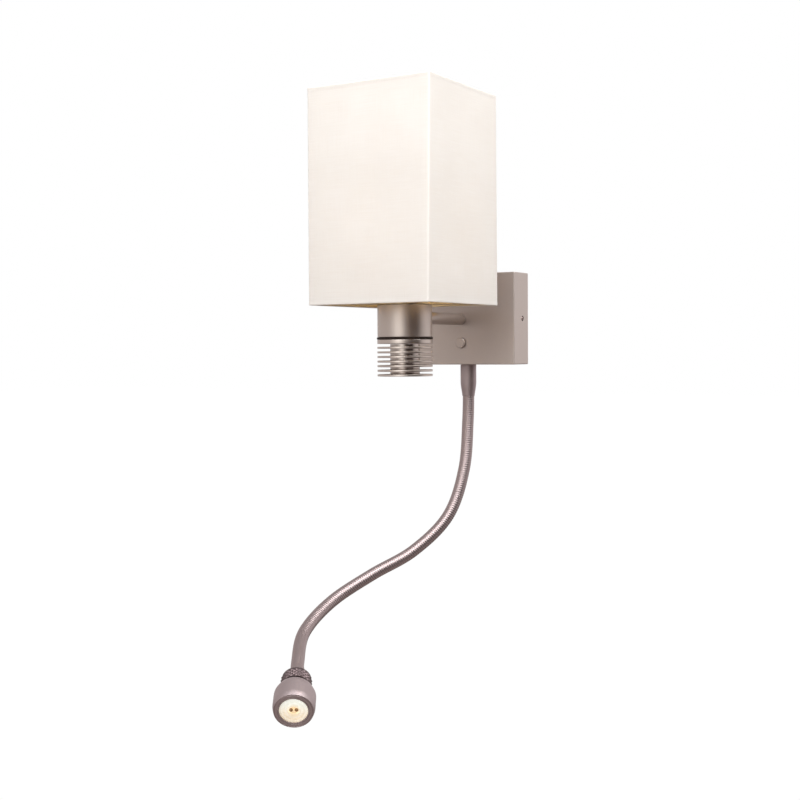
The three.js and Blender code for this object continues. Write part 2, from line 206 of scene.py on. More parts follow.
# The studio round the lamp, as (degrees from the front towards the right, radiance): a soft box in
# front, a grey wall on the left, a black flag on the right, and a white wall behind.
SOFT_BOX = (1.68, 1.65, 1.60)
GREY_WALL = (0.68, 0.630, 0.610)
BLACK_FLAG = (0.055, 0.040, 0.036)
WHITE_WALL = (0.84, 0.79, 0.78)
STUDIO_RING = [
    (-180, WHITE_WALL),
    (-120, (0.66, 0.62, 0.61)),
    (-85, GREY_WALL),
    (-32, GREY_WALL),
    (-16, (0.98, 0.95, 0.91)),
    (-5, (1.42, 1.39, 1.34)),
    (4, SOFT_BOX),
    (12, (1.46, 1.43, 1.38)),
    (20, (1.04, 1.01, 0.96)),
    (32, (0.34, 0.31, 0.30)),
    (46, (0.11, 0.085, 0.075)),
    (64, BLACK_FLAG),
    (90, BLACK_FLAG),
    (106, (0.60, 0.56, 0.55)),
    (124, WHITE_WALL),
    (180, WHITE_WALL),
]
# Over the ring: the ceiling, a dark flag a little below the lamp, and a table right under it, each as
# (the sine of the height where it begins, where it is full, radiance).
STUDIO_LEVELS = [
    (0.42, 0.72, (0.52, 0.49, 0.48)),
    (-0.12, -0.42, (0.215, 0.180, 0.172)),
    (-0.58, -0.80, (0.52, 0.445, 0.415)),
]

SoftLight = namedtuple("SoftLight", "name heading height distance size radiance colour")
SOFT_LIGHTS = [
    SoftLight("key_light", 14, 41, 1.05, 1.0, 3.62, (0.975, 1.0, 1.02)),
    SoftLight("side_light", 82, 46, 1.1, 1.0, 4.60, (0.98, 1.0, 1.0)),
]


def light_studio():
    world = bpy.data.worlds.new("studio")
    bpy.context.scene.world = world
    g = Graph(world)
    apart = g.split(g.place("Generated"))
    turn = g.math("ARCTAN2", apart["X"], g.math("MULTIPLY", apart["Y"], -1.0))
    ring = g.node("ValToRGB", {0: g.between(turn, -math.pi, math.pi, kind="LINEAR")})
    stops = ring.color_ramp.elements
    while len(stops) < len(STUDIO_RING):
        stops.new(0.5)
    for stop, (degrees, radiance) in zip(stops, STUDIO_RING):
        stop.position = (degrees + 180) / 360
    for stop, (degrees, radiance) in zip(stops, STUDIO_RING):
        stop.color = (*scaled(radiance, 1 / BRIGHTEST), 1)
    ring.color_ramp.interpolation = "EASE"
    seen = g.stretched(ring.outputs["Color"], (BRIGHTEST, BRIGHTEST, BRIGHTEST))
    for from_height, to_height, radiance in STUDIO_LEVELS:
        seen = g.blend(g.between(apart["Z"], from_height, to_height), seen, radiance)
    lit = g.node("Background", {"Color": seen, "Strength": 1.0})
    plain = g.node("Background", {"Color": (1, 1, 1, 1), "Strength": 1.0})
    camera_ray = g.node("LightPath").outputs["Is Camera Ray"]
    both = g.node("MixShader", {0: camera_ray, 1: lit.outputs[0], 2: plain.outputs[0]})
    g.node("OutputWorld", {0: both.outputs[0]})


def add_soft_light(light):
    """A square soft box that faces the shade from a heading to the right of the front, and a height."""
    data = bpy.data.lights.new(light.name, "AREA")
    data.shape = "SQUARE"
    data.size = light.size
    data.energy = light.radiance * math.pi * light.size**2
    data.color = light.colour
    lamp = linked(light.name, data)
    heading, height = math.radians(light.heading), math.radians(light.height)
    outwards = Vector((math.sin(heading), -math.cos(heading), math.tan(height))).normalized()
    lamp.location = span("shade_fabric").middle * MM + outwards * light.distance
    lamp.rotation_mode = "QUATERNION"
    lamp.rotation_quaternion = outwards.to_track_quat("Z", "Y")
    lamp.visible_camera = False


def add_floor():
    """A pale lit floor, as in a catalogue studio. Nothing on the lamp mirrors it."""
    half = 40.0
    corners = [(x * half, y * half, FLOOR_Z) for x, y in ((-1, -1), (1, -1), (1, 1), (-1, 1))]
    mesh = bpy.data.meshes.new("floor")
    mesh.from_pydata(corners, [], [(0, 1, 2, 3)])
    floor = linked("floor", mesh)
    g = Graph(bpy.data.materials.new("pale_floor"))
    colour = g.blend(g.noise(g.place(), 3.0), (0.99, 0.99, 0.985), (1.0, 1.0, 1.0))
    glow = g.node("Emission", {"Color": colour, "Strength": 1.02})
    g.node("OutputMaterial", {0: glow.outputs[0]})
    mesh.materials.append(g.owner)
    floor.visible_glossy = False
    floor.visible_diffuse = False
    floor.visible_transmission = False


light_studio()
for soft_light in SOFT_LIGHTS:
    add_soft_light(soft_light)
add_floor()
bpy.context.scene.view_settings.view_transform = "Standard"


# ---- Materials ----
def metal(name, base, roughness, grain="turned", grain_mm=0.22, depth_mm=0.004, mottle=0.04, sheen=1.0):
    """A satin metal. Its grain runs round the piece's own Z, or along its X when it is brushed.
    A "wound" metal is for pieces that bend: its texture lies on UVs in millimetres. A sheen under 1
    makes it more matt, like a lacquer."""
    g = Graph(bpy.data.materials.new(name))
    place = lines = g.place()
    if grain == "wound":
        place = lines = g.stretched(g.place("UV"), (MM, MM, MM))
    elif grain == "brushed":
        lines = g.stretched(place, (0.03, 1.0, 1.0))
    elif grain == "turned":
        apart = g.split(place)
        radius = g.distance(apart["X"], apart["Y"])
        lines = g.node("CombineXYZ", {0: radius, 2: apart["Z"]}).outputs[0]
    fine = g.noise(lines, 1 / (grain_mm * MM), detail=2.0)
    broad = g.noise(place, 28.0, detail=4.0, roughness=0.6)
    spots = g.noise(place, 420.0, detail=2.0)
    inputs = {
        "Base Color": g.mottled(g.weighted(broad, 0.7, fine, 0.3), base, mottle),
        "Metallic": sheen,
        "Roughness": g.near(roughness, g.weighted(broad, 0.5, spots, 0.5), 0.035),
        "Normal": g.bump(fine, depth_mm * MM),
    }
    return g.surface(inputs)


def dull(name, base, roughness, grain_mm=0.4, depth_mm=0.02, mottle=0.06, coat=0.0, specular=0.5):
    """A moulded plastic, rubber or glaze, with a fine grain."""
    g = Graph(bpy.data.materials.new(name))
    place = g.place()
    fine = g.noise(place, 1 / (grain_mm * MM), detail=2.0)
    broad = g.noise(place, 60.0, detail=4.0, roughness=0.6)
    inputs = {
        "Base Color": g.mottled(broad, base, mottle),
        "Roughness": g.near(roughness, broad, 0.05),
        "Specular IOR Level": specular,
        "Coat Weight": coat,
        "Coat Roughness": 0.1,
        "Normal": g.bump(fine, depth_mm * MM, 0.6),
    }
    return g.surface(inputs)


def weave(name):
    """Plain-woven shade cloth on UVs in millimetres: fine threads, thicker slubs here and there."""
    thread_mm = 0.62
    g = Graph(bpy.data.materials.new(name))
    flat = g.place("UV")
    apart = g.split(flat)
    turns = 2 * math.pi / thread_mm
    warp, weft = (g.math("SINE", g.math("MULTIPLY", apart[axis], turns)) for axis in "XY")
    warp_slub = g.noise(g.stretched(flat, (1.3, 0.035, 1.0)), 1.0, detail=3.0, roughness=0.6)
    weft_slub = g.noise(g.stretched(flat, (0.030, 1.5, 1.0)), 1.0, detail=3.0, roughness=0.6)
    slub = g.weighted(warp_slub, 0.4, weft_slub, 0.6)
    cloud = g.noise(g.stretched(flat, (0.02, 0.02, 1.0)), 1.0, detail=2.0)
    tone = g.between(g.weighted(slub, 0.75, cloud, 0.25), 0.35, 0.65)
    height = g.weighted(g.math("MULTIPLY", warp, weft), 0.25, slub, 1.0)
    inputs = {
        "Base Color": g.blend(tone, (0.905, 0.865, 0.82), (0.945, 0.915, 0.88)),
        "Roughness": 0.92,
        "Specular IOR Level": 0.2,
        "Sheen Weight": 0.12,
        "Sheen Roughness": 0.6,
        "Normal": g.bump(height, 0.10 * MM, 0.55),
    }
    return g.surface(inputs, through_share=0.30)


def film(name, base, through_share, roughness, glow=None):
    """A sheet or shell that lets some light through: the shade's liner, and lit opal glass."""
    g = Graph(bpy.data.materials.new(name))
    cloud = g.noise(g.place(), 45.0, detail=3.0)
    inputs = {
        "Base Color": g.blend(cloud, scaled(base, 0.97), base),
        "Roughness": g.near(roughness, cloud, 0.04),
    }
    if glow:
        inputs["Emission Color"] = (*scaled(glow, 1 / max(glow)), 1)
        inputs["Emission Strength"] = max(glow) / (1 - through_share)
    return g.surface(inputs, through_share)


def clear_plastic(name):
    g = Graph(bpy.data.materials.new(name))
    haze = g.noise(g.place(), 300.0, detail=2.0)
    inputs = {
        "Base Color": (0.99, 0.98, 0.95, 1),
        "Roughness": g.near(0.055, haze, 0.025),
        "IOR": 1.46,
        "Transmission Weight": 1.0,
    }
    return g.surface(inputs)


def glowing_bowl(name):
    """The optic's bright inner bowl, lit by its own LEDs: amber round them, ringed, and cooler and whiter above,
    where a reflection of the bright ceiling is painted in.
    """
    ring_apart = 3.1 * MM
    g = Graph(bpy.data.materials.new(name))
    place = g.place()
    cloud = g.noise(place, 130.0, detail=3.0)
    apart = g.split(place)
    radius = g.distance(apart["X"], g.math("ADD", apart["Y"], 1.8 * MM))
    wave = g.math("SINE", g.math("MULTIPLY", radius, 2 * math.pi / ring_apart))
    ringed = g.weighted(wave, 0.30, cloud, 0.9)
    low = g.blend(ringed, (0.84, 0.70, 0.52), (0.99, 0.91, 0.78))
    # The cooler, whiter upper half is a painted reflection of the bright ceiling.
    high = g.blend(ringed, (0.90, 0.93, 0.84), (0.97, 1.0, 1.0))
    outer = g.blend(g.between(apart["Y"], -9 * MM, 7 * MM), low, high)
    colour = g.blend(g.between(radius, 2.4 * MM, 6.0 * MM), (0.90, 0.70, 0.44), outer)
    inputs = {
        "Base Color": colour,
        "Roughness": g.near(0.21, cloud, 0.05),
        "Emission Color": colour,
        "Emission Strength": 0.70,
    }
    return g.surface(inputs)


CHROME = (0.600, 0.532, 0.492)  # a warm matt chrome
FINISH = {
    "satin_metal": metal("satin_chrome", CHROME, 0.38, "brushed"),
    "satin_aluminium": metal("satin_turned", CHROME, 0.30),
    "neck_metal": metal("head_satin", (0.462, 0.386, 0.391), 0.50, "cast", 0.5),
    "dark_aluminium": metal("dark_knurl", (0.16, 0.121, 0.124), 0.42, "cast", 0.3, 0.01),
    "dark_steel": metal("dark_screw", (0.36, 0.27, 0.25), 0.45, "turned"),
    "zinc_steel": metal("zinc_plate", (0.66, 0.67, 0.68), 0.34, "cast", 1.2, 0.01, 0.09),
    "white_wire": dull("white_enamel", (0.86, 0.84, 0.80), 0.40, 1.0, 0.02, 0.03),
    "brass": metal("brass_plate", (0.78, 0.57, 0.28), 0.30, "cast", 0.9, 0.008, 0.07),
    "black_rubber": dull("black_gasket", (0.030, 0.018, 0.014), 0.75, 0.5, 0.03, 0.2, specular=0.3),
    "black_plastic": dull("black_moulding", (0.030, 0.030, 0.033), 0.48, 0.35, 0.02, 0.15),
    "white_plastic": dull("white_moulding", (0.82, 0.81, 0.77), 0.45, 0.5, 0.02, 0.03),
    "red_plastic": dull("red_moulding", (0.46, 0.07, 0.045), 0.42, 0.5, 0.02, 0.1),
    "porcelain": dull("porcelain_glaze", (0.86, 0.84, 0.78), 0.22, 2.5, 0.02, 0.03, coat=0.4),
    "opal_glass": film("opal_glass", (0.93, 0.91, 0.86), 0.45, 0.22, glow=(1.3, 1.05, 0.75)),
    "liner_film": film("liner_film", (0.92, 0.88, 0.81), 0.50, 0.55),
    "shade_fabric": weave("shade_weave"),
    "board": dull("board_mask", (0.84, 0.80, 0.72), 0.35, 0.8, 0.01, 0.03),
    "led_chip": dull("led_phosphor", (0.60, 0.30, 0.08), 0.30, 0.5, 0.01, 0.15, coat=0.5),
    "clear_optic": clear_plastic("clear_lens"),
}
NECK_FINISH = metal("neck_wire", (0.410, 0.336, 0.335), 0.40, "wound", 0.5)
# The post's base is the satin chrome darkened to 0.72: painted shade that falls between the thin discs, on a truly
# glossy polish.
POST_SHADED_FINISH = metal("polished_post_painted_shade", scaled(CHROME, 0.72), 0.08)
FERRULE_FINISH = metal("satin_ferrule", (0.410, 0.336, 0.335), 0.44, "cast", 0.5)
# The canopy's cover and button get a darker, warmer copy of the satin chrome: partly a more matt coat (sheen
# 0.78), partly painted shade and a painted warm reflection of the lamp's shade.
CANOPY_SHADED_FINISH = metal("satin_canopy_painted_shade", (0.556, 0.486, 0.452), 0.44, "brushed", sheen=0.78)
GILT_FINISH = metal("gilt_frame", (0.78, 0.67, 0.47), 0.34, "cast", 0.9, 0.008, 0.07)


# ---- Shapes: points in millimetres, and the faces between them ----
class Shape:
    """Two shapes that are added keep no UVs."""

    def __init__(self, points, faces, uvs=None):
        self.points = [Vector(point) for point in points]
        self.faces = [tuple(face) for face in faces]
        self.uvs = uvs  # one (u, v) in millimetres for each corner of each face, or None

    def __add__(self, other):
        offset = len(self.points)
        moved = [tuple(i + offset for i in face) for face in other.faces]
        return Shape(self.points + other.points, self.faces + moved)

    def placed(self, matrix):
        return Shape([matrix @ point for point in self.points], self.faces, self.uvs)

    def shifted(self, x=0.0, y=0.0, z=0.0):
        return self.placed(Matrix.Translation((x, y, z)))


ALONG_Y = rotation(-90, "X")  # takes +Z to +Y
ALONG_X = rotation(90, "Y")  # takes +Z to +X


def circle(sides):
    """The cosine and sine of each of that many steps round a circle."""
    return [(math.cos(a), math.sin(a)) for a in (2 * math.pi * k / sides for k in range(sides))]


def quads(low, high, sides):
    """The faces between two rings of points, which start at the points numbered low and high."""
    return [(low + k, low + (k + 1) % sides, high + (k + 1) % sides, high + k) for k in range(sides)]


def mesh_of(name, shape):
    """The shape as a Blender mesh in metres, with its faces turned outwards."""
    mesh = bpy.data.meshes.new(name)
    mesh.from_pydata([point * MM for point in shape.points], [], shape.faces)
    if shape.uvs:
        layer = mesh.uv_layers.new(name="UVMap")
        layer.data.foreach_set("uv", np.array(shape.uvs, np.float32).ravel())
    bm = bmesh.new()
    bm.from_mesh(mesh)
    bmesh.ops.recalc_face_normals(bm, faces=bm.faces)
    bm.to_mesh(mesh)
    bm.free()
    return mesh


def shape_of(bm):
    bm.verts.index_update()
    shape = Shape([v.co for v in bm.verts], [[v.index for v in face.verts] for face in bm.faces])
    bm.free()
    return shape


def rounded(corners, steps=4):
    """The closed outline through the corners (radius, height, fillet), each turned with an arc."""
    outline = []
    for i, (r, z, fillet) in enumerate(corners):
        here = Vector((r, z))
        before = Vector(corners[i - 1][:2]) - here
        after = Vector(corners[(i + 1) % len(corners)][:2]) - here
        if not fillet:
            outline.append(here)
            continue
        half = before.angle(after) / 2
        reach = min(fillet / math.tan(half), 0.48 * before.length, 0.48 * after.length)
        radius = reach * math.tan(half)
        inwards = (before.normalized() + after.normalized()).normalized()
        centre = here + inwards * radius / math.sin(half)
        start = here + before.normalized() * reach - centre
        end = here + after.normalized() * reach - centre
        for k in range(steps + 1):
            arm = start.lerp(end, k / steps).normalized() * radius
            outline.append(centre + arm)
    return outline


def turned(profile, sides=72, flutes=None):
    """A profile of (radius, height) turned about +Z, from the axis to the axis, or closed on itself.
    flutes is (count, depth, least radius): points outside that radius dip in that many times round."""
    points, rings, faces = [], [], []
    for r, z in profile:
        first = len(points)
        if r < 1e-6:
            rings.append([first])
            points.append((0, 0, z))
            continue
        rings.append(range(first, first + sides))
        for k, (across, along) in enumerate(circle(sides)):
            reach = r
            if flutes and r > flutes[2]:
                reach -= flutes[1] * (0.5 - 0.5 * math.cos(flutes[0] * 2 * math.pi * k / sides))
            points.append((reach * across, reach * along, z))
    if profile[0][0] > 1e-6:
        rings.append(rings[0])
    for low, high in zip(rings, rings[1:]):
        for k in range(sides):
            spots = ((low, k), (low, k + 1), (high, k + 1), (high, k))
            face = list(dict.fromkeys(ring[i % len(ring)] for ring, i in spots))
            if len(face) > 2:
                faces.append(face)
    return Shape(points, faces)


def tube(stations, sides, radius_at, girth=0.0):
    """A closed tube through stations (distance, middle, side, up). radius_at takes a distance and a
    share of the way round. With a girth it has UVs in millimetres."""
    points, faces, uvs = [], [], []
    around = [girth * k / sides for k in range(sides + 1)]
    for along, middle, side, up in stations:
        for k, (c, s) in enumerate(circle(sides)):
            points.append(middle + (side * c + up * s) * radius_at(along, k / sides))
    for i in range(len(stations) - 1):
        faces += quads(i * sides, (i + 1) * sides, sides)
        v0, v1 = stations[i][0], stations[i + 1][0]
        for u0, u1 in zip(around, around[1:]):
            uvs += [(u0, v0), (u1, v0), (u1, v1), (u0, v1)]
    faces += [tuple(range(sides))[::-1], tuple(range(len(points) - sides, len(points)))]
    uvs += [(0.0, 0.0)] * (2 * sides)
    return Shape(points, faces, uvs if girth else None)


def sleeve(inner, outer, low, high, edge=0.3, sides=72, steps=3):
    corners = [(inner, low, edge), (outer, low, edge), (outer, high, edge), (inner, high, edge)]
    return turned(rounded(corners, steps), sides)


def disc(radius, low, high, sides=32):
    return turned([(0, low), (radius, low), (radius, high), (0, high)], sides)


def rounded_box(low, high, radius, segments=3, open_back=False):
    """A box with rounded edges. The edges of an open back, at +Y, stay sharp."""
    bm = bmesh.new()
    bmesh.ops.create_cube(bm, size=1)
    low, high = Vector(low), Vector(high)
    for v in bm.verts:
        v.co = Vector(h if c > 0 else l for c, l, h in zip(v.co, low, high))
    sharp = [e for e in bm.edges if open_back and all(abs(v.co.y - high.y) < 1e-6 for v in e.verts)]
    eased = [edge for edge in bm.edges if edge not in sharp]
    bmesh.ops.bevel(bm, geom=eased, offset=radius, segments=segments, profile=0.5, affect="EDGES")
    return shape_of(bm)


def prism(outline, low, high, edge=0.2):
    """An outline in XY drawn up from low to high, with its rims eased."""
    bm = bmesh.new()
    face = bm.faces.new([bm.verts.new((x, y, low)) for x, y in outline])
    grown = bmesh.ops.extrude_face_region(bm, geom=[face])["geom"]
    for v in grown:
        if isinstance(v, bmesh.types.BMVert):
            v.co.z = high
    bmesh.ops.recalc_face_normals(bm, faces=bm.faces)
    rims = [e for e in bm.edges if e.verts[0].co.z == e.verts[1].co.z]
    bmesh.ops.bevel(bm, geom=rims, offset=edge, segments=2, profile=0.5, affect="EDGES")
    return shape_of(bm)


def hexagon(radius):
    return [(radius * across, radius * along) for across, along in circle(6)]


def hex_nut(radius, low, high):
    return carved(prism(hexagon(radius), low, high, 0.35), disc(5.15, low - 1, high + 1))


def obround(length, radius, steps=8):
    """A slot's outline along X, of that length over its round ends."""
    reach = length / 2 - radius
    right = [(-math.pi / 2 + math.pi * k / steps) for k in range(steps + 1)]
    ends = [(reach + radius * math.cos(a), radius * math.sin(a)) for a in right]
    return ends + [(-x, -y) for x, y in ends]


def carved(shape, *tools):
    """The shape with the tools' solids taken out of it."""
    made = [linked("carving", mesh_of("carving", part)) for part in (shape, *tools)]
    for tool in made[1:]:
        modifier = made[0].modifiers.new("hole", "BOOLEAN")
        modifier.operation = "DIFFERENCE"
        modifier.solver = "EXACT"
        modifier.object = tool
    result = made[0].evaluated_get(bpy.context.evaluated_depsgraph_get()).to_mesh()
    left = Shape([v.co / MM for v in result.vertices], [list(p.vertices) for p in result.polygons])
    for holder in made:
        mesh = holder.data
        bpy.data.objects.remove(holder)
        bpy.data.meshes.remove(mesh)
    return left


def shown(name, shape, sharp, finish):
    """The shape as an object, smooth but at edges that turn more than sharp degrees."""
    mesh = mesh_of(name, shape)
    mesh.shade_smooth()
    mesh.set_sharp_from_angle(angle=math.radians(sharp))
    mesh.materials.append(finish)
    return linked(name, mesh)


def piece(name, shape, *nodes, like=None, at=None, sharp=32, flat=False, finish=None):
    """Makes the shape a piece in place of the CAD nodes named, with the first one's body and finish.
    at is the piece's own frame in millimetres, and flat keeps large faces flat beside rounded edges."""
    model = like or nodes[0]
    made = shown(name, shape, sharp, finish or FINISH[SLOT_OF[model]])
    if at is not None:
        place = at.copy()
        place.translation = at.translation * MM
        made.matrix_world = place
    if flat:
        made.modifiers.new("flat faces", "WEIGHTED_NORMAL").keep_sharp = True
    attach(made, BODY_OF[model])
    if nodes:
        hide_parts(*nodes)
    return made


def point_at(x, y, z):
    return Matrix.Translation((x, y, z))


# ---- Wall canopy ----
SHEET = 2.0  # the cover's and the bracket's thickness
COVER_EDGE = 0.9


def add_canopy_cover():
    """A pressed five-sided cover, with holes for the arm, the button, the neck and two set screws."""
    low, high = span("canopy_cover")[:2]
    screw = span("set_screw_right").middle
    inside = low + Vector((SHEET, SHEET, SHEET)), (high.x - SHEET, high.y + 3, high.z - SHEET)
    shell = rounded_box(low, high, COVER_EDGE, 4, open_back=True)
    hollow = rounded_box(*inside, 0.5, 2, open_back=True)
    through = low.y - 1, low.y + SHEET + 1
    holes = [
        disc(5.4, *through).placed(ALONG_Y),
        disc(5.6, *through, 48).placed(ALONG_Y).shifted(z=span("push_button").middle.z),
        disc(5.4, low.z - 1, low.z + SHEET + 1).shifted(y=span("inlet_fitting").middle.y),
    ]
    for x in (low.x + 1, high.x - 1):
        holes.append(disc(2.7, x - 2, x + 2).placed(ALONG_X).shifted(y=screw.y, z=screw.z))
    shape = carved(shell, hollow, *holes)
    # its darker, warmer finish holds painted shade and a painted warm reflection
    piece("canopy_shell", shape, "canopy_cover", flat=True, finish=CANOPY_SHADED_FINISH)


def add_wall_bracket():
    """A zinc-plated strap with two bent tabs, slots and tapped holes."""
    low, high = span("wall_bracket")[:2]
    front = high.y - SHEET
    tab_half = span("arm_nut_canopy").size.z / 2 + 4.5
    through = front - 1, high.y + 1
    flat_on = rotation(90, "X")
    long_slot, short_slot = (
        prism(obround(length, radius), -through[1], -through[0], 0.01).placed(flat_on)
        for length, radius in ((13, 2.4), (9, 2.1))
    )
    holes = []
    for x in (-39.5, 39.5):
        holes += [long_slot.shifted(x=x), short_slot.shifted(x=x, z=-24), short_slot.shifted(x=x, z=24)]
    ground = span("ground_screw").middle
    for radius, x, z in ((2.3, ground.x, ground.z), (1.6, 22, 3), (1.6, -22, 3)):
        holes.append(disc(radius, *through, 24).placed(ALONG_Y).shifted(x=x, z=z))
    shape = carved(rounded_box((low.x, front, low.z), high, 0.5, 2), *holes)
    for x in (low.x, high.x - SHEET):
        tab = rounded_box((x, low.y, -tab_half), (x + SHEET, high.y, tab_half), 0.5, 2)
        hole = disc(2.1, x - 2, x + SHEET + 2, 24).placed(ALONG_X)
        shape += carved(tab, hole.shifted(y=span("set_screw_right").middle.y))
    piece("bracket_plate", shape, "wall_bracket", flat=True)


def screw_thread(radius, low, high, pitch, depth):
    """The side of a threaded rod as a profile of rounded rings."""
    count = max(1, round((high - low) / pitch))
    step = (high - low) / count
    profile = []
    for start in (low + i * step for i in range(count)):
        profile += [(radius - depth, start), (radius, start + 0.35 * step), (radius, start + 0.65 * step)]
    return profile + [(radius - depth, high)]


def add_set_screw(node, outwards):
    """A grub screw: a threaded rod with a hexagon socket."""
    box = span(node)
    half, radius = box.size.x / 2, box.size.z / 2
    side = screw_thread(radius, -half + 0.5, half - 0.3, 0.7, 0.25)
    rod = turned([(0, -half), (radius - 0.6, -half), *side, (radius - 0.5, half), (0, half)], 32)
    socket = prism(hexagon(1.0), half - 2.0, half + 1, 0.01)
    place = point_at(box.middle.x + outwards * 0.7, box.middle.y, box.middle.z)
    place = place @ rotation(outwards * 90, "Y")
    piece(f"grub_{node}", carved(rod, socket), node, at=place)


def add_ground_screw():
    """A hexagon washer-head screw with a slot, on the bracket's front."""
    box = span("ground_screw")
    front, back = box.low.y, box.high.y
    head = prism(hexagon(3.7), front, front + 2.5, 0.35)
    slot = rounded_box((-5, -0.4, front - 1), (5, 0.4, front + 1.1), 0.05, 1)
    washer = sleeve(1.5, 4.2, front + 2.4, front + 3.1, 0.2)
    side = screw_thread(2.0, front + 3.0, back - 0.5, 0.7, 0.3)
    stem = turned([(0, front + 3.0), *side, (1.2, back), (0, back)], 24)
    shape = carved(head, slot) + washer + stem
    place = point_at(box.middle.x, 0, box.middle.z) @ ALONG_Y
    piece("earth_screw", shape, "ground_screw", at=place)


def add_led_driver():
    """A sealed driver: a case with a lid, a parting line, cooling ribs and lead entries."""
    box = span("led_driver")
    low, high = box.low, box.high
    split = low.y + 0.62 * box.size.y
    case = rounded_box((low.x, split + 0.25, low.z), high, 1.4)
    lid = rounded_box(low, (high.x, split, high.z), 1.4)
    core_low, core_high = (low.x + 0.6, split - 2, low.z + 0.6), (high.x - 0.6, split + 2, high.z - 0.6)
    core = rounded_box(core_low, core_high, 0.3, 2)
    grooves = []
    for i in range(5):
        x = low.x + 6 + i * (box.size.x - 12) / 4
        size = (x - 0.7, low.y - 1, low.z + 3.5), (x + 0.7, low.y + 0.7, high.z - 3.5)
        grooves.append(rounded_box(*size, 0.3, 2))
    shape = carved(lid, *grooves) + case + core
    for z in (box.middle.z - 5, box.middle.z + 5):
        entry = sleeve(1.1, 2.1, 0, 1.2, 0.3, 24).placed(ALONG_X)
        shape += entry.shifted(x=low.x - 0.9, y=high.y - 6, z=z)
    piece("driver_case", shape, "led_driver", flat=True)


def add_wire_nut(node):
    """A twist-on connector: a fluted cone with a flared skirt."""
    box = span(node)
    low, high = box.low.z, box.high.z
    outside = [(0, low, 0), (3.0, low, 0.9), (3.9, low + 1.5, 0.6), (5.1, high - 5.2, 0.8)]
    skirt = [(5.95, high - 3.2, 0.5), (5.95, high, 0.5), (4.7, high, 0.3)]
    inside = [(4.0, high - 7, 0.5), (0, high - 8, 0)]
    shape = turned(rounded(outside + skirt + inside, 3), 96, flutes=(12, 0.5, 3.2))
    piece(f"cap_{node}", shape, node, at=point_at(box.middle.x, box.middle.y, 0))


def add_push_button():
    """The button's cap, slightly dished, with an eased edge, and its flange and stem."""
    box = span("push_button")
    cap, rim, stem = 5.3, 6.4, 1.8
    front, flange, back = box.low.y + 0.5, box.low.y + 5.5, box.high.y
    corners = [(0, front + 0.1, 0), (cap - 0.9, front, 0.8), (cap - 0.3, front + 0.12, 0.2)]
    corners += [(cap, front + 0.45, 0.25), (cap, flange, 0), (rim, flange, 0.2), (rim, flange + 1, 0.2)]
    corners += [(stem, flange + 1, 0), (stem, back, 0.4), (0, back, 0)]
    place = point_at(box.middle.x, 0, box.middle.z) @ ALONG_Y
    # the button shares the canopy's finish with its painted shade and warm reflection
    piece("button_cap", turned(rounded(corners), 72), "push_button", at=place, finish=CANOPY_SHADED_FINISH)


def add_switch():
    """The switch's housing on its two legs, with a bushing round the stem and two terminals."""
    low, high, middle = span("switch_body")[:3]
    block = rounded_box((-5.5, low.y + 5.5, low.z), (5.5, high.y, high.z), 0.7)
    bore = disc(2.3, low.y + 4, high.y - 6.5, 24).placed(ALONG_Y).shifted(z=middle.z)
    shape = carved(block, bore)
    shape += rounded_box((low.x, high.y - 5, low.z), (high.x, high.y - 0.5, high.z), 0.7)
    for x in (low.x, high.x - 3):
        shape += rounded_box((x, low.y, low.z), (x + 3, high.y, high.z), 0.6)
    shape += sleeve(2.35, 3.6, low.y + 5.1, low.y + 6.0, 0.2, 36).placed(ALONG_Y).shifted(z=middle.z)
    for x in (-3, 3):
        lug = (x - 0.4, high.y - 0.6, middle.z - 2), (x + 0.4, high.y, middle.z + 2)
        shape += rounded_box(*lug, 0.15, 2)
    piece("switch_housing", shape, "switch_body", flat=True)


def add_spring():
    """The button's coil spring, which shortens as the button goes in."""
    box = span("button_spring")
    wire, turns, steps = 0.38, 3, 28
    coil = box.size.x / 2 - 0.4
    low, high = box.low.y + wire + 0.03, box.high.y - wire - 0.03
    stations = []
    for i in range(turns * steps + 1):
        turn = 2 * math.pi * i / steps
        outwards = Vector((math.cos(turn), 0, math.sin(turn)))
        along = low + (high - low) * i / (turns * steps)
        middle = Vector((box.middle.x, along, box.middle.z)) + outwards * coil
        stations.append((along, middle, outwards, Vector((0, 1, 0))))
    shape = tube(stations, 12, lambda along, share: wire)
    spring = piece("coil_spring", shape, "button_spring", sharp=60)
    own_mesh(spring)


add_canopy_cover()
add_wall_bracket()
add_set_screw("set_screw_left", -1)
add_set_screw("set_screw_right", 1)
add_ground_screw()
add_led_driver()
add_wire_nut("wire_nut_left")
add_wire_nut("wire_nut_right")
add_push_button()
add_switch()
add_spring()


